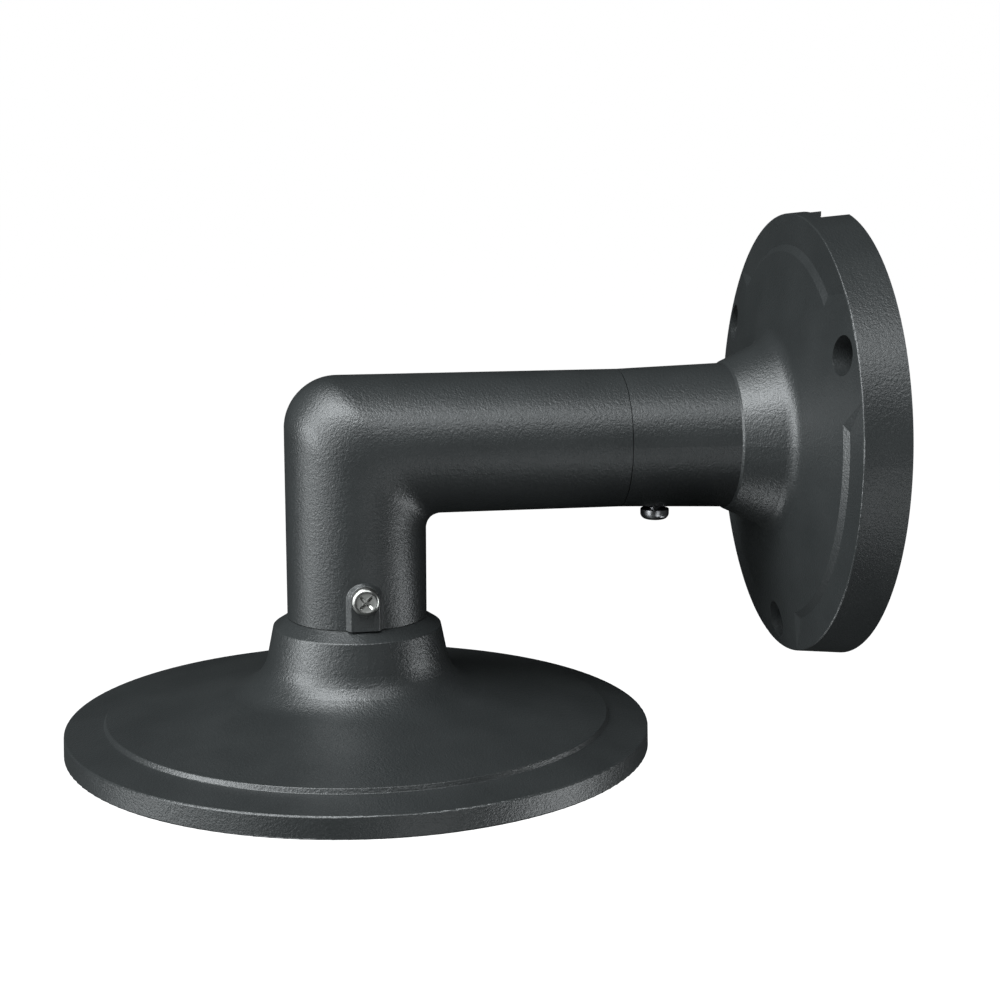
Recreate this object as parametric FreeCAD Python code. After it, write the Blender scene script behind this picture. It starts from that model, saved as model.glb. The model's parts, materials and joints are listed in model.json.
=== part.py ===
"""Swan-neck wall bracket for a dome or mini PTZ camera, in millimetres.

The origin is the centre of the wall flange's back face. +Y points into the wall, the arm
runs along -Y and +Z is up. X = 0 is the symmetry plane, and the plate's lock screw is on +X.
"""
import FreeCAD
import Part
import math
import os

V = FreeCAD.Vector
AXIS_X = V(1, 0, 0)
AXIS_Y = V(0, 1, 0)
AXIS_Z = V(0, 0, 1)

# ---------------------------------------------------------------- driving dimensions
# camera plate
PLATE_R = 80.0            # top edge of the rim, a 160 mm plate
PLATE_AXIS_Y = -134.17    # reach from the wall to the plate's axis
PLATE_EDGE_Z = -76.69     # top edge of the rim
PLATE_BOTTOM_Z = -82.59
PLATE_BOTTOM_R = 80.16    # the rim has a slight casting draft
RIM_ROUND = 0.45
RING_TOP_R, RING_TOP_Z = 68.75, -73.50
RING_FOOT_R, RING_FOOT_Z = 69.29, -74.82
RING_ROUND = 0.3
NECK_FILLET = 12.0
NECK_DRAFT = 0.2          # growth of the neck's radius per mm of height
COLLAR_R, COLLAR_Z = 23.0, -49.6
COLLAR_ROUND = 0.5

# tube, one and a half inch outside
TUBE_R = 19.07
TUBE_BORE_R = 16.0
SOCKET_R = 16.6           # bores that take a spigot
SPIGOT_R = 16.55
SPIGOT_BORE_R = 13.8
SPIGOT_CHAMFER = 0.8
ARM_SPIGOT_LENGTH = 21.5
LEG_SPIGOT_LENGTH = 17.6
SEAM_GAP = 0.2            # dark line at each turning joint
LEG_END_Z = -46.9
ARM_SEAM_Y = -61.44
ELBOW_OUTER_R = 14.4      # corner rounding seen from the side
ELBOW_INNER_R = 3.8
CIRCLE_POLES = ((1, 0), (1, 1), (0, 1), (-1, 1), (-1, 0), (-1, -1), (0, -1), (1, -1), (1, 0))
SLOPE_STEP = 1e-5         # angle over which the bend's slopes are taken
BEND_Y = PLATE_AXIS_Y + TUBE_R + ELBOW_INNER_R    # axis that the bend turns about
BEND_Z = -TUBE_R - ELBOW_INNER_R

# wall flange
FLANGE_FRONT_R = 61.16
FLANGE_BACK_R = 62.29
FLANGE_T = 12.66
CONE_SLOPE = 0.158        # the raised face rises towards the neck
RECESS_R, RECESS_T = 52.6, 13.15    # foot of the bevel round the raised face
RAISED_R = 50.75          # top of that bevel
EAR_HALF_W, EAR_HALF_W_AT_R = 19.4, 48.7
EAR_NARROWING, EAR_LEAN = 0.545, 2.77    # per mm outwards and per mm of height
NECK_LIP_Y, NECK_LIP_R = -31.4, 20.10
NECK_LIP_RISE, NECK_LIP_RUN = 0.65, 0.5
NECK_BASE_FILLET = 5.2
NECK_BASE_R, NECK_BASE_T = 25.5, 20.4
WALL_T = 3.2
FLANGE_RIM_T = 4.8
NECK_HOLLOW = ((25.5, -15.8), (22.2, -19.5), (16.6, -31.0))    # (radius, y) inside the flare
NOTCH_HALF_W, NOTCH_DEPTH, NOTCH_FLOOR_Z = 11.2, 8.0, 48.0
HOLE_PCD_R = 53.8
HOLE_ANGLES = (30, 150, 270)
COUNTERBORE_R, WALL_HOLE_R = 5.25, 2.75
COUNTERBORE_FLOOR_Y = -5.0
COUNTERBORE_WALL = 2.6

# lock screws, M4
SCREW_R = 2.0
SCREW_HOLE_R = 2.05
SCREW_TIP_R = 1.5
SCREW_TIP_LENGTH = 1.4
CROSS_HALF_W, CROSS_DEPTH = 0.48, 0.8
GROOVE_R = 15.2           # bottom of the groove that a screw tip runs in
GROOVE_HALF_W = 1.8
TIP_REACH_R = 15.4
PLATE_SCREW_Z = -38.5
ARM_SCREW_Y = -50.3
SCREW_SEAT_GAP = 0.1      # under the plate's lock screw
ARM_SCREW_SEAT_R = 20.2   # the arm's lock screw stands a little proud of the stub
BOSS_FACE_X, BOSS_FOOT_X = 20.1, 18.5
BOSS_FACE_R, BOSS_FOOT_R = 3.75, 4.9
BOSS_EDGE_ROUND = 0.6
ARM_SLOT_HALF_DEG = 96.0  # the arm's groove stops short, which limits its swivel

# seals
ORING_R = 0.85
ORING_GROOVE_HALF_W = 1.1
ARM_ORING_Y = ARM_SEAM_Y + 17.5
LEG_ORING_Z = LEG_END_Z + 14.0
WALL_SEAL_IN_R, WALL_SEAL_OUT_R, WALL_SEAL_T = 58.6, 60.9, 1.5
CAMERA_SEAL_IN_R, CAMERA_SEAL_OUT_R, CAMERA_SEAL_T = 77.2, 79.2, 1.2

# underside of the camera plate
SKIRT_R, SKIRT_Z = 76.3, -79.5
DISH_HOLLOW = ((67.25, -77.6), (38.0, -71.3), (27.5, -68.6), (22.4, -62.5), (19.4, -52.0))
CAMERA_PCD_R = 52.5
CAMERA_ANGLES = (45, 135, 225, 315)
CAMERA_TAP_R, CAMERA_TAP_DEPTH = 1.65, 7.0    # drilled for M4
CAMERA_BOSS_R = 4.5
HUB_IN_R, HUB_OUT_R = 24.5, 27.5
RIB_T = 2.4
RIB_BOTTOM_Z = PLATE_BOTTOM_Z + 3
SUPPORT_TOP_Z = -61.0     # inside the metal above the dish, so every support joins it
CEILING_Z = -52.0         # where the neck's inside steps in to the spigot's bore

# safety hook under the plate
HOOK_R, HOOK_Z, HOOK_T = 36.0, -76.0, 1.5
HOOK_EYE_R, HOOK_HOLE_R, HOOK_REACH, HOOK_MOUTH = 5.5, 3.2, 14.0, 3.0
HOOK_TAP_DEPTH = 4.5
SCREW_CLEARANCE_R = 2.25


# ---------------------------------------------------------------- helpers
def save(name, shape):
    """Write one sub-part as parts/NAME.step."""
    shape.exportStep(os.path.join("parts", name + ".step"))


def corner_arc(before, corner, after, radius):
    """Start, middle and end of the arc that rounds one corner of a 2-D outline."""
    def unit(a, b):
        length = math.hypot(b[0] - a[0], b[1] - a[1])
        return (b[0] - a[0]) / length, (b[1] - a[1]) / length

    u = unit(corner, before)
    w = unit(corner, after)
    half = math.acos(u[0] * w[0] + u[1] * w[1]) / 2
    reach = radius / math.tan(half)
    mid_dir = unit((0, 0), (u[0] + w[0], u[1] + w[1]))
    mid_len = radius / math.sin(half) - radius
    start = (corner[0] + u[0] * reach, corner[1] + u[1] * reach)
    middle = (corner[0] + mid_dir[0] * mid_len, corner[1] + mid_dir[1] * mid_len)
    end = (corner[0] + w[0] * reach, corner[1] + w[1] * reach)
    return start, middle, end


def outline_wire(points, to_3d):
    """Closed wire through 2-D corners. A corner (a, b, r) is rounded with radius r."""
    corners = []
    for i, point in enumerate(points):
        if len(point) == 3:
            after = points[(i + 1) % len(points)]
            corners.append(corner_arc(points[i - 1], point, after, point[2]))
        else:
            corners.append((point, None, point))
    edges = []
    for i, (start, middle, end) in enumerate(corners):
        if middle:
            edges.append(Part.Arc(to_3d(start), to_3d(middle), to_3d(end)).toShape())
        following = corners[(i + 1) % len(corners)][0]
        if math.dist(end, following) > 1e-6:
            edges.append(Part.makeLine(to_3d(end), to_3d(following)))
    return Part.Wire(edges)


def revolve_about_arm(points):
    """Solid of revolution about the Y axis from (radius, y) points."""
    wire = outline_wire(points, lambda p: V(p[0], p[1], 0))
    return Part.Face(wire).revolve(V(0, 0, 0), AXIS_Y, 360)


def revolve_about_leg(points):
    """Solid of revolution about the camera plate's axis from (radius, z) points."""
    wire = outline_wire(points, lambda p: V(p[0], PLATE_AXIS_Y, p[1]))
    return Part.Face(wire).revolve(V(0, PLATE_AXIS_Y, 0), AXIS_Z, 360)


def rod(radius, start, end):
    """Cylinder between two points."""
    span = end - start
    return Part.makeCylinder(radius, span.Length, start, span)


def on_arm(y, x=0.0, z=0.0):
    return V(x, y, z)


def on_leg(z, x=0.0, dy=0.0):
    return V(x, PLATE_AXIS_Y + dy, z)


def block(low, high):
    size = high - low
    return Part.makeBox(size.x, size.y, size.z, low)


def ring_about_arm(inner, outer, y, half_w):
    return revolve_about_arm([(inner, y - half_w), (outer, y - half_w),
                              (outer, y + half_w), (inner, y + half_w)])


def ring_about_leg(inner, outer, z, half_w):
    return revolve_about_leg([(inner, z - half_w), (outer, z - half_w),
                              (outer, z + half_w), (inner, z + half_w)])


# ---------------------------------------------------------------- wall flange
def raised_face_y(radius):
    """Height of the flange's conical raised face."""
    return -(FLANGE_T + (FLANGE_FRONT_R - radius) * CONE_SLOPE)


def flange_outer():
    """Rim, cone, flared neck and stub, without any hollow."""
    lip_r, lip_y = NECK_LIP_R + NECK_LIP_RISE, NECK_LIP_Y + NECK_LIP_RUN
    flare = (NECK_BASE_R - lip_r) / (-NECK_BASE_T - lip_y)
    # where the flared neck's line meets the cone
    foot_y = (raised_face_y(lip_r) - lip_y * flare * CONE_SLOPE) / (1 - flare * CONE_SLOPE)
    foot_r = lip_r + (foot_y - lip_y) * flare
    stub_end = ARM_SEAM_Y + SEAM_GAP / 2
    return revolve_about_arm([
        (0, 0), (FLANGE_BACK_R, 0), (FLANGE_FRONT_R, -FLANGE_T, RIM_ROUND),
        (foot_r, foot_y, NECK_BASE_FILLET), (lip_r, lip_y), (NECK_LIP_R, NECK_LIP_Y),
        (TUBE_R, stub_end), (0, stub_end)])


def ear(angle):
    """Wedge of the raised face kept round one screw hole. Its sides lean and taper outwards."""
    def half_width(s, t):
        return EAR_HALF_W - EAR_NARROWING * (s - EAR_HALF_W_AT_R) - EAR_LEAN * (t - RECESS_T)

    def outline(t):
        corners = [(40, -half_width(40, t)), (66, -half_width(66, t)),
                   (66, half_width(66, t)), (40, half_width(40, t))]
        turn = FreeCAD.Rotation(AXIS_Y, -angle)
        points = [turn.multVec(V(s, -t, o)) for s, o in corners]
        return Part.makePolygon(points + points[:1])

    return Part.makeLoft([outline(12.0), outline(15.4)], True, True)


def flange_recess():
    """What is cut from the cone between the ears: a flat annulus with a bevelled inner wall."""
    bevel_run = (RECESS_R - RAISED_R) / (RECESS_T + raised_face_y(RAISED_R))
    top_t = 15.3
    annulus_rise = (RECESS_T - FLANGE_T) / (FLANGE_FRONT_R - RECESS_R)
    outer_r = FLANGE_BACK_R + 1
    tool = revolve_about_arm([
        (RECESS_R, -RECESS_T), (outer_r, -FLANGE_T - (FLANGE_FRONT_R - outer_r) * annulus_rise),
        (outer_r, -top_t), (RECESS_R + (top_t - RECESS_T) * bevel_run, -top_t)])
    for angle in HOLE_ANGLES:
        tool = tool.cut(ear(angle))
    return tool


def hole_centre(angle, y=0.0):
    turn = math.radians(angle)
    return V(HOLE_PCD_R * math.cos(turn), y, HOLE_PCD_R * math.sin(turn))


def flange_hollow():
    """Space behind the flange where the cable joint sits, less the pillars of the three holes."""
    wall_r = FLANGE_BACK_R - FLANGE_RIM_T
    roof = (RAISED_R, -FLANGE_T + WALL_T - 1.4)
    hollow = revolve_about_arm([
        (0, 1), (wall_r, 1), (wall_r - 0.4, -FLANGE_T + WALL_T), roof,
        (30, raised_face_y(30) + WALL_T), *NECK_HOLLOW, (0, NECK_HOLLOW[-1][1])])
    for angle in HOLE_ANGLES:
        hollow = hollow.cut(rod(COUNTERBORE_R + COUNTERBORE_WALL, hole_centre(angle, -30),
                                hole_centre(angle, 2)))
    return hollow


def make_wall_flange():
    body = flange_outer().cut(flange_recess())
    body = body.cut(flange_hollow())
    body = body.cut(rod(SOCKET_R, on_arm(-70), on_arm(-30.5)))
    for angle in HOLE_ANGLES:
        body = body.cut(rod(COUNTERBORE_R, hole_centre(angle, -30),
                            hole_centre(angle, COUNTERBORE_FLOOR_Y)))
        body = body.cut(rod(WALL_HOLE_R, hole_centre(angle, -10), hole_centre(angle, 1)))
    body = body.cut(cable_notch())
    body = body.cut(rod(SCREW_HOLE_R, on_arm(ARM_SCREW_Y, z=-SOCKET_R + 1.5),
                        on_arm(ARM_SCREW_Y, z=-TUBE_R - 3)))
    body = body.cut(ring_about_arm(WALL_SEAL_IN_R, WALL_SEAL_OUT_R, 0, WALL_SEAL_T))
    return body


def cable_notch(grow=0.0):
    """Side entry for a surface cable, cut through the top of the rim at the wall."""
    half = NOTCH_HALF_W + grow
    return block(V(-half, -NOTCH_DEPTH, NOTCH_FLOOR_Z), V(half, 1, FLANGE_BACK_R + 4))


def make_wall_gasket():
    """Flat rubber seal in the flange's back face, open at the cable notch."""
    ring = ring_about_arm(WALL_SEAL_IN_R, WALL_SEAL_OUT_R, -WALL_SEAL_T / 2, WALL_SEAL_T / 2)
    return ring.cut(cable_notch(grow=0.3))


# ---------------------------------------------------------------- elbow arm
def elbow_reach(phi, far, outer_r):
    """Distance from the pivot to the bend's outer line, which is two straights and an arc."""
    core = far - outer_r
    across = max(math.sin(phi), math.cos(phi))
    along = min(math.sin(phi), math.cos(phi))
    if far / across * along <= core:
        return far / across
    middle = core * (across + along)
    return middle + math.sqrt(middle ** 2 - 2 * core ** 2 + outer_r ** 2)


def bend_section(phi, tube_r, outer_r, inner_r):
    """Poles of the bend's elliptical section at an angle, as a rational quadratic."""
    direction = V(0, -math.sin(phi), math.cos(phi))
    reach = elbow_reach(phi, TUBE_R + ELBOW_INNER_R + tube_r, outer_r)
    centre = V(0, BEND_Y, BEND_Z) + direction * (reach + inner_r) / 2
    major = direction * (reach - inner_r) / 2
    minor = AXIS_X * tube_r
    return [centre + major * a + minor * b for a, b in CIRCLE_POLES]


def bend_angles(tube_r, outer_r):
    """Angles of the bend's sections; the fourth is where the outer line starts to round."""
    far = TUBE_R + ELBOW_INNER_R + tube_r
    turn = math.atan((far - outer_r) / far)
    first = [0, turn / 3, turn * 2 / 3, turn]
    return first + [math.pi / 4] + [math.pi / 2 - angle for angle in reversed(first)]


def bend_skin(tube_r, outer_r, inner_r):
    """Skin of the bend, whose poles run along cubics that keep the true slope at each section."""
    angles = bend_angles(tube_r, outer_r)
    columns = [[] for _ in CIRCLE_POLES]
    for i, phi in enumerate(angles):
        here, before, after = [bend_section(phi + step, tube_r, outer_r, inner_r)
                               for step in (0, -SLOPE_STEP, SLOPE_STEP)]
        back = (phi - angles[max(i - 1, 0)]) / 3
        ahead = (angles[min(i + 1, len(angles) - 1)] - phi) / 3
        for column, p, q, r in zip(columns, here, before, after):
            slope = (r - q) / (2 * SLOPE_STEP)
            column += [p - slope * back, p + slope * ahead]
    weights = [[math.sqrt(0.5) if abs(a * b) else 1] * len(columns[0]) for a, b in CIRCLE_POLES]
    skin = Part.BSplineSurface()
    skin.buildFromPolesMultsKnots(
        columns, [3, 2, 2, 2, 3], [4] + [2] * (len(angles) - 2) + [4],
        [0, 0.25, 0.5, 0.75, 1], angles, False, False, 2, 3, weights)
    return skin.toShape()


def elbow(tube_r, outer_r, inner_r):
    """Mitred bend with rounded corners, skinned through ellipses that fan round the inner one."""
    skin = bend_skin(tube_r, outer_r, inner_r)
    rims = [edge for edge in skin.Edges if edge.isClosed()]
    shell = Part.makeShell([skin] + [Part.Face(Part.Wire(rim)) for rim in rims])
    shell.sewShape()
    return Part.makeSolid(shell)


def bent_rod(radius, outer_r, inner_r, level_end, leg_end):
    """Level run, bend and leg, as one solid bar."""
    level = rod(radius, on_arm(BEND_Y), on_arm(level_end))
    leg = rod(radius, on_leg(BEND_Z), on_leg(leg_end))
    return level.fuse([elbow(radius, outer_r, inner_r), leg])


def screw_boss():
    """Flat-faced pad for the plate's lock screw, round at the top and running down to the rim."""
    def section(x, half):
        top = PLATE_SCREW_Z + half
        return outline_wire([(-half, LEG_END_Z), (half, LEG_END_Z), (half, top, half),
                             (-half, top, half)],
                            lambda p: on_leg(p[1], x=x, dy=p[0]))

    widening = (BOSS_FOOT_R - BOSS_FACE_R) / (BOSS_FACE_X - BOSS_FOOT_X)
    root_x = TUBE_BORE_R + 1.4
    root = BOSS_FACE_R + (BOSS_FACE_X - root_x) * widening
    boss = Part.makeLoft([section(root_x, root), section(BOSS_FACE_X, BOSS_FACE_R)], True, True)
    face = max(boss.Faces, key=lambda each: each.CenterOfMass.x)
    rim = [edge for edge in face.Edges if edge.CenterOfMass.z > LEG_END_Z + BOSS_EDGE_ROUND]
    return boss.makeFillet(BOSS_EDGE_ROUND, rim)


def make_elbow_arm():
    body = bent_rod(TUBE_R, ELBOW_OUTER_R, ELBOW_INNER_R, ARM_SEAM_Y - SEAM_GAP / 2, LEG_END_Z)
    spigot_end = ARM_SEAM_Y + ARM_SPIGOT_LENGTH
    body = body.fuse([screw_boss(), rod(SPIGOT_R, on_arm(ARM_SEAM_Y - 4), on_arm(spigot_end))])
    wall = TUBE_R - TUBE_BORE_R
    body = body.cut(bent_rod(TUBE_BORE_R, ELBOW_OUTER_R - wall, ELBOW_INNER_R + wall,
                             ARM_SEAM_Y - wall, LEG_END_Z - 1))
    body = body.cut(rod(SPIGOT_BORE_R, on_arm(-90), on_arm(spigot_end + 1)))
    socket_top = LEG_END_Z + LEG_SPIGOT_LENGTH + 1.8
    body = body.cut(rod(SOCKET_R, on_leg(socket_top), on_leg(LEG_END_Z - 1)))
    slot = ring_about_arm(GROOVE_R, SPIGOT_R + 1, ARM_SCREW_Y, GROOVE_HALF_W)
    body = body.cut(slot.cut(slot_stop()))
    body = body.cut(ring_about_arm(SPIGOT_R - 2 * ORING_R, SPIGOT_R + 1, ARM_ORING_Y,
                                   ORING_GROOVE_HALF_W))
    body = body.cut(rod(SCREW_HOLE_R, on_leg(PLATE_SCREW_Z, x=SOCKET_R - 2),
                        on_leg(PLATE_SCREW_Z, x=BOSS_FACE_X + 1)))
    return body.removeSplitter()


def slot_stop():
    """Sector above the arm's groove that is left solid, as the end stop of the swivel."""
    reach = 30.0
    side = math.radians(90 - ARM_SLOT_HALF_DEG)
    edge_x, edge_z = reach * math.cos(side), -reach * math.sin(side)
    y = ARM_SCREW_Y - 5
    points = [V(0, y, 0), V(edge_x, y, edge_z), V(edge_x, y, reach), V(-edge_x, y, reach),
              V(-edge_x, y, edge_z), V(0, y, 0)]
    return Part.Face(Part.makePolygon(points)).extrude(V(0, 10, 0))


# ---------------------------------------------------------------- camera plate
def plate_outer():
    """Spigot, collar, neck and dished top, as one turned solid."""
    dish_slope = (PLATE_EDGE_Z - RING_FOOT_Z) / (PLATE_R - RING_FOOT_R)
    # where the neck's line meets the dished top
    foot_z = ((RING_TOP_Z + (COLLAR_R + NECK_DRAFT * COLLAR_Z - RING_TOP_R) * dish_slope)
              / (1 + NECK_DRAFT * dish_slope))
    foot_r = COLLAR_R + NECK_DRAFT * (COLLAR_Z - foot_z)
    seat_z = LEG_END_Z - SEAM_GAP
    spigot_top = LEG_END_Z + LEG_SPIGOT_LENGTH
    return revolve_about_leg([
        (0, spigot_top), (SPIGOT_R - SPIGOT_CHAMFER, spigot_top),
        (SPIGOT_R, spigot_top - SPIGOT_CHAMFER), (SPIGOT_R, seat_z), (TUBE_R, seat_z),
        (COLLAR_R, COLLAR_Z, COLLAR_ROUND), (foot_r, foot_z, NECK_FILLET),
        (RING_TOP_R, RING_TOP_Z, RING_ROUND), (RING_FOOT_R, RING_FOOT_Z, RING_ROUND),
        (PLATE_R, PLATE_EDGE_Z, RIM_ROUND), (PLATE_BOTTOM_R, PLATE_BOTTOM_Z, RIM_ROUND),
        (0, PLATE_BOTTOM_Z)])


def plate_hollow():
    """Open underside: the dish and the inside of the neck."""
    return revolve_about_leg([
        (0, PLATE_BOTTOM_Z - 1), (SKIRT_R, PLATE_BOTTOM_Z - 1), (SKIRT_R - 0.3, SKIRT_Z),
        *DISH_HOLLOW, (0, CEILING_Z)])


def plate_supports():
    """Four ribs, a hub ring, four tapped pillars and the hook's pillar under the dish."""
    height = SUPPORT_TOP_Z - RIB_BOTTOM_Z
    supports = [ring_about_leg(HUB_IN_R, HUB_OUT_R, RIB_BOTTOM_Z + height / 2, height / 2)]
    for angle in CAMERA_ANGLES:
        rib = block(V(HUB_IN_R, -RIB_T / 2, RIB_BOTTOM_Z), V(SKIRT_R + 1, RIB_T / 2, SUPPORT_TOP_Z))
        rib.Placement = FreeCAD.Placement(on_leg(0), FreeCAD.Rotation(AXIS_Z, angle))
        pillar = rod(CAMERA_BOSS_R, camera_hole(angle, PLATE_BOTTOM_Z),
                     camera_hole(angle, SUPPORT_TOP_Z))
        supports += [rib, pillar]
    supports.append(rod(CAMERA_BOSS_R, on_leg(HOOK_Z, x=HOOK_R), on_leg(SUPPORT_TOP_Z, x=HOOK_R)))
    return supports


def camera_hole(angle, z):
    turn = math.radians(angle)
    return on_leg(z, x=CAMERA_PCD_R * math.cos(turn), dy=CAMERA_PCD_R * math.sin(turn))


def make_camera_plate():
    outer = plate_outer()
    body = outer.cut(plate_hollow())
    supports = [piece.common(outer) for piece in plate_supports()]
    body = body.fuse(supports)
    body = body.cut(rod(SPIGOT_BORE_R, on_leg(-20), on_leg(-60)))
    for angle in CAMERA_ANGLES:
        body = body.cut(rod(CAMERA_TAP_R, camera_hole(angle, PLATE_BOTTOM_Z - 1),
                            camera_hole(angle, PLATE_BOTTOM_Z + CAMERA_TAP_DEPTH)))
    body = body.cut(ring_about_leg(GROOVE_R, SPIGOT_R + 1, PLATE_SCREW_Z, GROOVE_HALF_W))
    body = body.cut(ring_about_leg(SPIGOT_R - 2 * ORING_R, SPIGOT_R + 1, LEG_ORING_Z,
                                   ORING_GROOVE_HALF_W))
    body = body.cut(ring_about_leg(CAMERA_SEAL_IN_R, CAMERA_SEAL_OUT_R, PLATE_BOTTOM_Z,
                                   CAMERA_SEAL_T))
    body = body.cut(rod(CAMERA_TAP_R, on_leg(HOOK_Z - 1, x=HOOK_R),
                        on_leg(HOOK_Z + HOOK_TAP_DEPTH, x=HOOK_R)))
    return body.removeSplitter()


def make_camera_gasket():
    """Flat rubber ring in the rim's bottom face."""
    half = CAMERA_SEAL_T / 2
    return ring_about_leg(CAMERA_SEAL_IN_R, CAMERA_SEAL_OUT_R, PLATE_BOTTOM_Z + half, half)


def make_cable_grommet():
    """Rubber bush that lines the mouth of the spigot's bore under the plate."""
    body_r, flange_r, cable_r = SPIGOT_BORE_R - 0.05, 17.0, 8.0
    return revolve_about_leg([
        (cable_r, CEILING_Z + 5), (cable_r, CEILING_Z - 1.6), (cable_r + 1, CEILING_Z - 2.6),
        (flange_r - 1, CEILING_Z - 2.6), (flange_r, CEILING_Z - 1.6), (flange_r, CEILING_Z),
        (body_r, CEILING_Z), (body_r, CEILING_Z + 4), (body_r - 1, CEILING_Z + 5)])


def make_safety_hook():
    """Flat steel strip with a screw hole and an open eye for the camera's lanyard."""
    bottom, eye_x = HOOK_Z - HOOK_T, HOOK_R + HOOK_REACH

    def disc(radius, x, over=0.0):
        return rod(radius, on_leg(bottom - over, x=x), on_leg(HOOK_Z + over, x=x))

    strip = block(on_leg(bottom, x=HOOK_R, dy=-HOOK_EYE_R), on_leg(HOOK_Z, x=eye_x, dy=HOOK_EYE_R))
    strip = strip.fuse([disc(HOOK_EYE_R, HOOK_R), disc(HOOK_EYE_R, eye_x)])
    mouth = block(on_leg(bottom - 1, x=eye_x - HOOK_MOUTH / 2),
                  on_leg(HOOK_Z + 1, x=eye_x + HOOK_MOUTH / 2, dy=HOOK_EYE_R + 1))
    holes = [disc(SCREW_CLEARANCE_R, HOOK_R, 1), disc(HOOK_HOLE_R, eye_x, 1), mouth]
    return strip.cut(holes).removeSplitter()


# ---------------------------------------------------------------- seals and screws
def torus(centre, axis):
    return Part.makeTorus(SPIGOT_R - ORING_R, ORING_R, centre, axis)


def pan_head_screw(head_r, head_h, edge_r, shank, recess):
    """M4 cross-recess screw along +Z. Its head sits on z = 0 and its shank points down."""
    tip_top = SCREW_TIP_LENGTH - shank
    wire = outline_wire(
        [(0, -shank), (SCREW_TIP_R, -shank), (SCREW_TIP_R, tip_top), (SCREW_R, tip_top),
         (SCREW_R, 0), (head_r, 0), (head_r, head_h, edge_r), (0, head_h)],
        lambda p: V(p[0], 0, p[1]))
    body = Part.Face(wire).revolve(V(0, 0, 0), AXIS_Z, 360)
    for angle in (45, 135):
        arm = block(V(-recess, -CROSS_HALF_W, head_h - CROSS_DEPTH),
                    V(recess, CROSS_HALF_W, head_h + 1))
        arm.Placement = FreeCAD.Placement(V(0, 0, 0), FreeCAD.Rotation(AXIS_Z, angle))
        body = body.cut(arm)
    return body


def placed(shape, point, direction):
    shape.Placement = FreeCAD.Placement(point, FreeCAD.Rotation(AXIS_Z, direction))
    return shape


def make_plate_lock_screw():
    """Screw in the leg's boss. Its tip runs in the plate spigot's groove."""
    seat_x = BOSS_FACE_X + SCREW_SEAT_GAP
    screw = pan_head_screw(head_r=3.8, head_h=2.4, edge_r=0.9, shank=seat_x - TIP_REACH_R,
                           recess=2.6)
    return placed(screw, on_leg(PLATE_SCREW_Z, x=seat_x), AXIS_X)


def make_arm_lock_screw():
    """Screw under the stub. Its tip runs in the arm spigot's slot."""
    screw = pan_head_screw(head_r=4.0, head_h=3.0, edge_r=1.7, shank=ARM_SCREW_SEAT_R - TIP_REACH_R,
                           recess=2.2)
    return placed(screw, on_arm(ARM_SCREW_Y, z=-ARM_SCREW_SEAT_R), -AXIS_Z)


def make_safety_hook_screw():
    """Its thread is drawn at the tapped hole's size where it is inside the pillar."""
    length = 5.5
    screw = pan_head_screw(head_r=3.8, head_h=2.4, edge_r=1.2, shank=length, recess=2.2)
    inside = Part.makeCylinder(SCREW_R + 1, length, V(0, 0, -HOOK_T - length))
    core = Part.makeCylinder(CAMERA_TAP_R, length + 2, V(0, 0, -HOOK_T - length - 1))
    return placed(screw.cut(inside.cut(core)), on_leg(HOOK_Z - HOOK_T, x=HOOK_R), -AXIS_Z)


def main():
    os.makedirs("parts", exist_ok=True)
    save("wall_flange", make_wall_flange())
    save("wall_gasket", make_wall_gasket())
    save("arm_lock_screw", make_arm_lock_screw())
    save("elbow_arm", make_elbow_arm())
    save("arm_joint_oring", torus(on_arm(ARM_ORING_Y), AXIS_Y))
    save("plate_lock_screw", make_plate_lock_screw())
    save("camera_plate", make_camera_plate())
    save("plate_joint_oring", torus(on_leg(LEG_ORING_Z), AXIS_Z))
    save("camera_gasket", make_camera_gasket())
    save("cable_grommet", make_cable_grommet())
    save("safety_hook", make_safety_hook())
    save("safety_hook_screw", make_safety_hook_screw())


main()
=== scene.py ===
import json
import math

import bmesh
import bpy
from mathutils import Matrix, Vector


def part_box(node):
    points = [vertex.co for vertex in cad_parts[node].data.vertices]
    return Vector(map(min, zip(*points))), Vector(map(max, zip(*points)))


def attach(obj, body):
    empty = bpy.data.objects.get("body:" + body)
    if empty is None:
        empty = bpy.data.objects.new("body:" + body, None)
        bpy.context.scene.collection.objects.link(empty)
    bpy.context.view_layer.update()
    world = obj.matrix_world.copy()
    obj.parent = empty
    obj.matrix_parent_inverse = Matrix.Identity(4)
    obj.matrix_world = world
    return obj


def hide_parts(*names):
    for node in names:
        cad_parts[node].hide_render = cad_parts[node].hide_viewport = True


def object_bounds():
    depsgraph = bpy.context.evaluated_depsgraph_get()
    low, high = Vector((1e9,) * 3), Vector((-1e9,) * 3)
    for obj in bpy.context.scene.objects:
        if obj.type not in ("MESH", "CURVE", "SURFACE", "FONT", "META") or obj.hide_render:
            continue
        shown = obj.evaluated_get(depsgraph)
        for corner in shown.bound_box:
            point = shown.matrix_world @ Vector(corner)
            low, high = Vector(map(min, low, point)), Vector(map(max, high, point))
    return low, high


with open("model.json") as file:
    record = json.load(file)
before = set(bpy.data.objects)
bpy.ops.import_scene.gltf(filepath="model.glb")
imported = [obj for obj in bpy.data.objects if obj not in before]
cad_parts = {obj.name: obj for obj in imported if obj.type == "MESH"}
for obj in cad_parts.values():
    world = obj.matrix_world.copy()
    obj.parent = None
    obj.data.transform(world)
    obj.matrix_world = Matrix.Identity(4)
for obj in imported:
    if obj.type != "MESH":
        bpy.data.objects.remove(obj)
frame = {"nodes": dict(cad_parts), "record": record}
cad_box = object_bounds()

MM = 0.001

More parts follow.
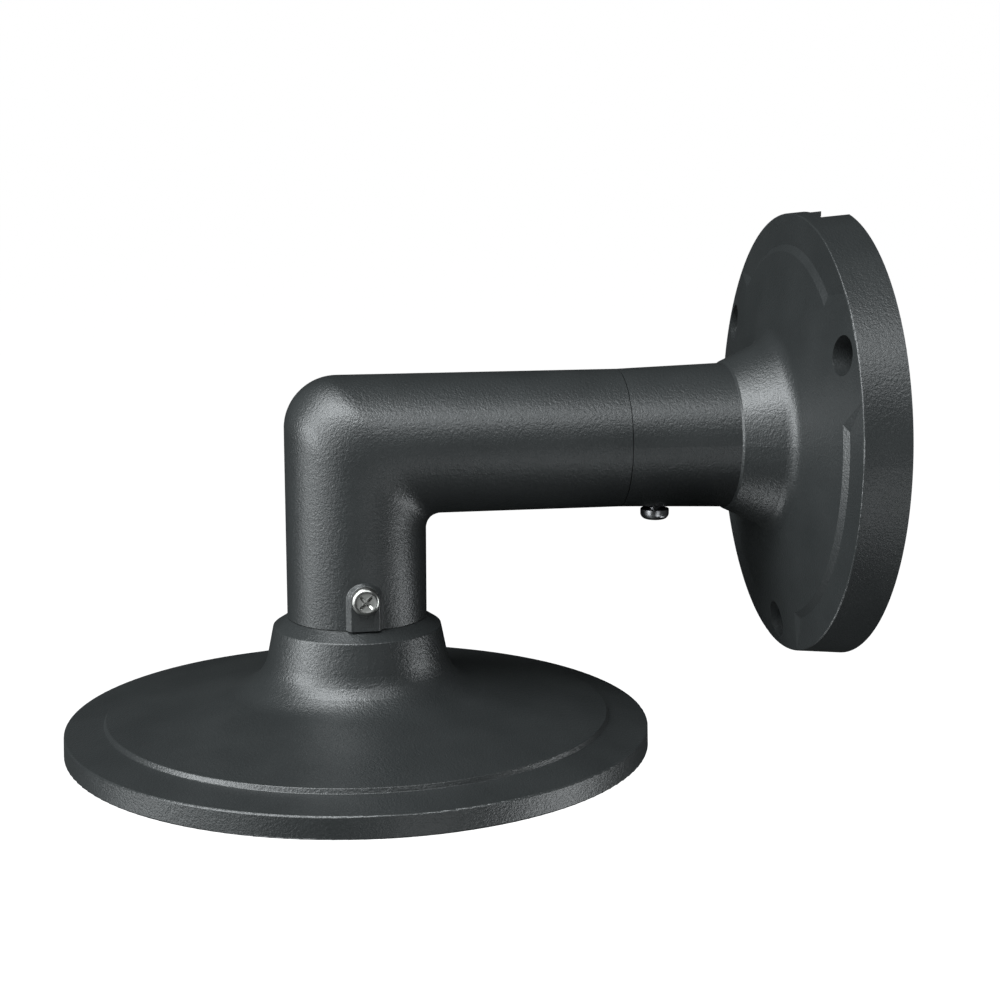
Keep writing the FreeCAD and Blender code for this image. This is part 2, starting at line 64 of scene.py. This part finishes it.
TIP_R, TIP_LENGTH, TIP_CHAMFER = 1.5 * MM, 1.4 * MM, 0.1 * MM      # plain tip of a screw
THREAD_R, THREAD_DEPTH, THREAD_PITCH = 1.98 * MM, 0.32 * MM, 0.7 * MM
RECESS_HALF_W, RECESS_DEPTH = 0.36 * MM, 0.9 * MM
HEAD_CHAMFER = 0.15 * MM   # at the underside of a head
EDGE_SOFTENING = 0.06 * MM
OVERLAP = 0.02 * MM        # thread into head and tip
HEAD_STEPS, TIP_STEPS, ROUND_STEPS = 72, 40, 10

LIGHT_DISTANCE, LIGHT_SIZE = 1.3, 0.62
LIGHT_COLOR = (0.94, 0.98, 1.0)
SOFT_LIGHTS = (            # (direction from the bracket, watts)
    ((0.49, -0.31, 0.82), 16.5),       # above, towards the viewer
    ((0.21, -0.95, 0.22), 14.1),       # room side
    ((0.32, -0.69, 0.65), 11.6),
    ((0.06, -0.40, -0.92), 6.6),       # faint light from below
    ((0.17, 0.98, -0.08), 6.5),        # wall side, grazes the rim
    ((0.03, -0.40, 0.92), 6.4),
    ((0.32, 0.79, -0.52), 6.4),
    ((0.66, 0.24, 0.72), 5.1),
    ((0.00, -0.98, -0.22), 3.8),
    ((0.65, -0.65, 0.38), 3.8),
    ((0.54, -0.84, -0.05), 3.0),
    ((0.88, 0.24, -0.42), 1.8),
)
FLOOR_DROP, FLOOR_HALF = 0.9, 60.0     # below the bracket, and half the floor's side

CAMERA_AT = (519.25 * MM, -189.78 * MM, 81.87 * MM)
CAMERA_YAW, CAMERA_PITCH = math.radians(10.42), math.radians(10.55)
CAMERA_LENS, CAMERA_SENSOR = 70.17, 36.0


# ---------------------------------------------------------------- node helpers
class Nodes:
    """Short way to add and wire shader nodes in one material."""

    def __init__(self, name):
        self.material = bpy.data.materials.new(name)
        self.material.use_nodes = True
        self.tree = self.material.node_tree
        self.shader = self.tree.nodes["Principled BSDF"]

    def add(self, kind, inputs=None, **settings):
        node = self.tree.nodes.new("ShaderNode" + kind)
        for key, value in settings.items():
            setattr(node, key, value)
        for key, value in (inputs or {}).items():
            if isinstance(value, bpy.types.NodeSocket):
                self.tree.links.new(value, node.inputs[key])
            else:
                node.inputs[key].default_value = value
        return node

    def link(self, output, socket):
        self.tree.links.new(output, self.shader.inputs[socket])

    def set(self, **values):
        for key, value in values.items():
            self.shader.inputs[key.replace("_", " ")].default_value = value

    def position(self):
        return self.add("TexCoord").outputs["Object"]

    def noise(self, scale, detail=2.0, roughness=0.5):
        """Noise with scale features in a metre."""
        return self.add("TexNoise", {"Vector": self.position(), "Scale": scale,
                                     "Detail": detail, "Roughness": roughness}).outputs["Fac"]

    def ramp(self, value, low, high, out_low, out_high):
        """Maps value from low..high to out_low..out_high, clamped."""
        return self.add("MapRange", {"Value": value, "From Min": low, "From Max": high,
                                     "To Min": out_low, "To Max": out_high}).outputs["Result"]

    def mix_color(self, factor, first, second):
        node = self.add("Mix", data_type="RGBA")
        self.tree.links.new(factor, node.inputs[0])
        node.inputs[6].default_value = first
        node.inputs[7].default_value = second
        return node.outputs[2]

    def math(self, operation, first, second):
        node = self.add("Math", operation=operation)
        for socket, value in zip(node.inputs, (first, second)):
            if isinstance(value, bpy.types.NodeSocket):
                self.tree.links.new(value, socket)
            else:
                socket.default_value = value
        return node.outputs[0]

    def bump(self, height, distance, strength=1.0):
        """Relief whose full height is distance, in metres."""
        node = self.add("Bump", {"Height": height, "Distance": distance, "Strength": strength})
        return node.outputs["Normal"]


def graphite_coat():
    """Satin graphite powder coat on cast aluminium: leathery grain over faint mottling."""
    m = Nodes("graphite_coat")
    mottling = m.noise(60, detail=3)
    grain = m.noise(2300, detail=2, roughness=0.6)
    leather = m.noise(1150, detail=1.5)
    m.link(m.mix_color(m.ramp(mottling, 0.3, 0.7, 0, 1),
                       (0.0150, 0.0166, 0.0168, 1), (0.0190, 0.0208, 0.0210, 1)), "Base Color")
    m.link(m.ramp(grain, 0.3, 0.7, 0.33, 0.40), "Roughness")
    relief = m.math("ADD", m.math("MULTIPLY", leather, 1.6), grain)
    m.link(m.bump(relief, 0.06 * MM), "Normal")
    m.set(IOR=1.5)
    return m.material


def screw_steel(name, color, roughness):
    """Plated steel with fine marks from turning."""
    m = Nodes(name)
    marks = m.noise(5200, detail=2)
    stain = m.noise(400, detail=3)
    m.set(Metallic=1.0)
    m.link(m.mix_color(stain, tuple(c * 0.92 for c in color) + (1,), color + (1,)), "Base Color")
    m.link(m.ramp(marks, 0.25, 0.75, roughness - 0.02, roughness + 0.02), "Roughness")
    m.link(m.bump(marks, 0.0004 * MM, strength=0.4), "Normal")
    return m.material


def black_rubber():
    """Moulded rubber: dull, with a dusty grain."""
    m = Nodes("black_rubber")
    grain = m.noise(2200, detail=3)
    bloom = m.noise(90, detail=3)
    m.link(m.mix_color(m.ramp(bloom, 0.35, 0.7, 0, 1),
                       (0.012, 0.012, 0.013, 1), (0.022, 0.022, 0.022, 1)), "Base Color")
    m.link(m.ramp(grain, 0.3, 0.7, 0.62, 0.8), "Roughness")
    m.link(m.bump(grain, 0.03 * MM, strength=0.5), "Normal")
    return m.material


def set_material(obj, material):
    obj.data.materials.clear()
    obj.data.materials.append(material)


# ---------------------------------------------------------------- screws
def turned(bm, profile, steps):
    """Adds a closed solid of revolution about Z. The profile runs from axis to axis."""
    rings = []
    for radius, z in profile:
        if radius == 0:
            rings.append([bm.verts.new((0, 0, z))])
            continue
        rings.append([bm.verts.new((radius * math.cos(turn), radius * math.sin(turn), z))
                      for turn in (2 * math.pi * k / steps for k in range(steps))])
    for lower, upper in zip(rings, rings[1:]):
        for k in range(steps):
            after = (k + 1) % steps
            if len(lower) == 1:
                bm.faces.new((lower[0], upper[after], upper[k]))
            elif len(upper) == 1:
                bm.faces.new((lower[k], lower[after], upper[0]))
            else:
                bm.faces.new((lower[k], lower[after], upper[after], upper[k]))


def thread(bm, radius, depth, pitch, low, high, steps=40, per_turn=10):
    """Adds a threaded rod from low to high along Z, with flat ends."""
    rings = []
    count = int((high - low) / pitch * per_turn)
    for i in range(count + 1):
        z = low + (high - low) * i / count
        fade = min(1.0, (z - low) / (1.5 * pitch) + 0.25)
        ring = []
        for k in range(steps):
            wave = abs(((z / pitch - k / steps) % 1.0) * 2 - 1)
            crest = max(0.0, min(1.0, wave * 1.5 - 0.25))
            r = (radius - depth + depth * crest) * (0.9 + 0.1 * fade)
            turn = 2 * math.pi * k / steps
            ring.append(bm.verts.new((r * math.cos(turn), r * math.sin(turn), z)))
        rings.append(ring)
    for lower, upper in zip(rings, rings[1:]):
        for k in range(steps):
            after = (k + 1) % steps
            bm.faces.new((lower[k], lower[after], upper[after], upper[k]))
    bm.faces.new(list(reversed(rings[0])))
    bm.faces.new(rings[-1])


def new_object(name, bm):
    bmesh.ops.recalc_face_normals(bm, faces=bm.faces)
    mesh = bpy.data.meshes.new(name)
    bm.to_mesh(mesh)
    bm.free()
    obj = bpy.data.objects.new(name, mesh)
    bpy.context.scene.collection.objects.link(obj)
    return obj


def cross_cutter(head_h, reach):
    """Tapered four-armed plug that leaves a cross recess."""
    bm = bmesh.new()
    top, floor = head_h + 0.1 * MM, head_h - RECESS_DEPTH
    for turn in (math.radians(45), math.radians(135)):
        turned_by = Matrix.Rotation(turn, 4, "Z")
        corners = [(sx * (reach if z == top else reach * 0.55), sy * RECESS_HALF_W, z)
                   for z in (floor, top) for sx, sy in ((-1, -1), (1, -1), (1, 1), (-1, 1))]
        verts = [bm.verts.new(turned_by @ Vector(c)) for c in corners]
        for face in ((3, 2, 1, 0), (4, 5, 6, 7), (0, 1, 5, 4), (1, 2, 6, 5), (2, 3, 7, 6),
                     (3, 0, 4, 7)):
            bm.faces.new([verts[i] for i in face])
    return new_object("cutter", bm)


def head_mesh(head_r, head_h, edge_r, recess):
    """Round-edged head on z = 0 with a cross recess."""
    bm = bmesh.new()
    arc = [(head_r - edge_r + edge_r * math.cos(a), head_h - edge_r + edge_r * math.sin(a))
           for a in (math.radians(90 * k / ROUND_STEPS) for k in range(ROUND_STEPS + 1))]
    crown = [((head_r - edge_r) * k / 4, head_h) for k in (3, 2, 1)]
    turned(bm, [(0, 0), (head_r - HEAD_CHAMFER, 0), (head_r, HEAD_CHAMFER)] + arc + crown
           + [(0, head_h)], HEAD_STEPS)
    head = new_object("head", bm)
    cutter = cross_cutter(head_h, recess)
    cut = head.modifiers.new("recess", "BOOLEAN")
    cut.operation, cut.solver, cut.object = "DIFFERENCE", "EXACT", cutter
    cut.use_self = True
    soften = head.modifiers.new("soften", "BEVEL")
    soften.width, soften.segments = EDGE_SOFTENING, 2
    soften.limit_method, soften.angle_limit = "ANGLE", math.radians(50)
    finished = bpy.data.meshes.new_from_object(head.evaluated_get(
        bpy.context.evaluated_depsgraph_get()))
    head.modifiers.clear()
    bpy.data.objects.remove(cutter)
    bpy.data.objects.remove(head)
    return finished


def make_screw(node, body, slot, direction, head_r, head_h, edge_r, recess):
    """M4 pan head screw with a real thread, in the place of its plain CAD node."""
    low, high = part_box(node)
    axis = Vector(direction)
    extent = abs((high - low).dot(axis))
    seat = (low + high) / 2 + axis * (extent / 2 - head_h)
    shank = extent - head_h
    tip_top = TIP_LENGTH - shank

    bm = bmesh.new()
    bm.from_mesh(head_mesh(head_r, head_h, edge_r, recess))
    turned(bm, [(0, -shank), (TIP_R - TIP_CHAMFER, -shank), (TIP_R, TIP_CHAMFER - shank),
                (TIP_R, tip_top), (0, tip_top)], TIP_STEPS)
    thread(bm, THREAD_R, THREAD_DEPTH, THREAD_PITCH, tip_top - OVERLAP, OVERLAP)
    screw = new_object(node + "_threaded", bm)
    for polygon in screw.data.polygons:
        polygon.use_smooth = True
    screw.data.set_sharp_from_angle(angle=math.radians(35))
    screw.matrix_world = (Matrix.Translation(seat)
                          @ Vector((0, 0, 1)).rotation_difference(axis).to_matrix().to_4x4())
    set_material(screw, FINISH[slot])
    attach(screw, body)
    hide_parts(node)


# ---------------------------------------------------------------- stage
def soft_light(number, direction, power, aim):
    """Round soft light that shines on the aim point from a direction."""
    light = bpy.data.lights.new("soft_%02d" % number, "AREA")
    light.shape = "DISK"
    light.size = LIGHT_SIZE
    light.energy = power
    light.color = LIGHT_COLOR
    obj = bpy.data.objects.new(light.name, light)
    toward = Vector(direction).normalized()
    obj.location = aim + toward * LIGHT_DISTANCE
    obj.rotation_euler = (-toward).to_track_quat("-Z", "Y").to_euler()
    obj.visible_camera = False
    bpy.context.scene.collection.objects.link(obj)


def white_surround():
    """World that is white where the camera sees it and gives no light."""
    world = bpy.data.worlds.new("studio")
    bpy.context.scene.world = world
    world.use_nodes = True
    tree = world.node_tree
    background = tree.nodes["Background"]
    background.inputs["Color"].default_value = (1, 1, 1, 1)
    path = tree.nodes.new("ShaderNodeLightPath")
    tree.links.new(path.outputs["Is Camera Ray"], background.inputs["Strength"])


def pale_floor(z):
    """Plain white floor, far enough below that it neither shades nor lights the bracket."""
    mesh = bpy.data.meshes.new("floor")
    corners = [(x * FLOOR_HALF, y * FLOOR_HALF, z)
               for x, y in ((-1, -1), (1, -1), (1, 1), (-1, 1))]
    mesh.from_pydata(corners, [], [(0, 1, 2, 3)])
    floor = bpy.data.objects.new("floor", mesh)
    bpy.context.scene.collection.objects.link(floor)
    m = Nodes("floor_white")
    m.set(Base_Color=(0.95, 0.95, 0.95, 1), Roughness=0.9, Emission_Color=(1, 1, 1, 1),
          Emission_Strength=1.0)
    set_material(floor, m.material)
    floor.visible_diffuse = False
    floor.visible_glossy = False
    floor.visible_shadow = False


def side_camera():
    """Long lens from the bracket's side, turned a little to its front and looking down."""
    level = math.cos(CAMERA_PITCH)
    forward = Vector((-math.cos(CAMERA_YAW) * level, math.sin(CAMERA_YAW) * level,
                      -math.sin(CAMERA_PITCH)))
    camera = bpy.data.cameras.new("camera")
    camera.sensor_width = CAMERA_SENSOR
    camera.lens = CAMERA_LENS
    camera.clip_start, camera.clip_end = 0.01, 200
    obj = bpy.data.objects.new("camera", camera)
    obj.rotation_mode = "QUATERNION"
    obj.rotation_quaternion = forward.to_track_quat("-Z", "Y")
    obj.location = CAMERA_AT
    bpy.context.scene.collection.objects.link(obj)
    bpy.context.scene.camera = obj


# ---------------------------------------------------------------- build
FINISH = {
    "graphite_coat": graphite_coat(),
    "bright_steel": screw_steel("bright_steel", (0.33, 0.33, 0.315), 0.3),
    "dark_steel": screw_steel("dark_steel", (0.42, 0.42, 0.43), 0.3),
    "black_rubber": black_rubber(),
}
for entry in frame["record"]["subparts"]:
    set_material(frame["nodes"][entry["node"]], FINISH[entry["material_slot"]])

make_screw("plate_lock_screw", "plate_screw", "bright_steel", (1, 0, 0),
           head_r=3.8 * MM, head_h=2.4 * MM, edge_r=1.3 * MM, recess=2.45 * MM)
make_screw("arm_lock_screw", "arm_screw", "dark_steel", (0, 0, -1),
           head_r=4.0 * MM, head_h=3.0 * MM, edge_r=1.7 * MM, recess=2.2 * MM)
make_screw("safety_hook_screw", "plate", "bright_steel", (0, 0, -1),
           head_r=3.8 * MM, head_h=2.4 * MM, edge_r=1.2 * MM, recess=2.2 * MM)

bracket_low, bracket_high = cad_box
centre = (bracket_low + bracket_high) / 2
white_surround()
pale_floor(bracket_low.z - FLOOR_DROP)
for number, (direction, power) in enumerate(SOFT_LIGHTS):
    soft_light(number, direction, power, centre)
side_camera()

bpy.context.scene.view_settings.view_transform = "Standard"
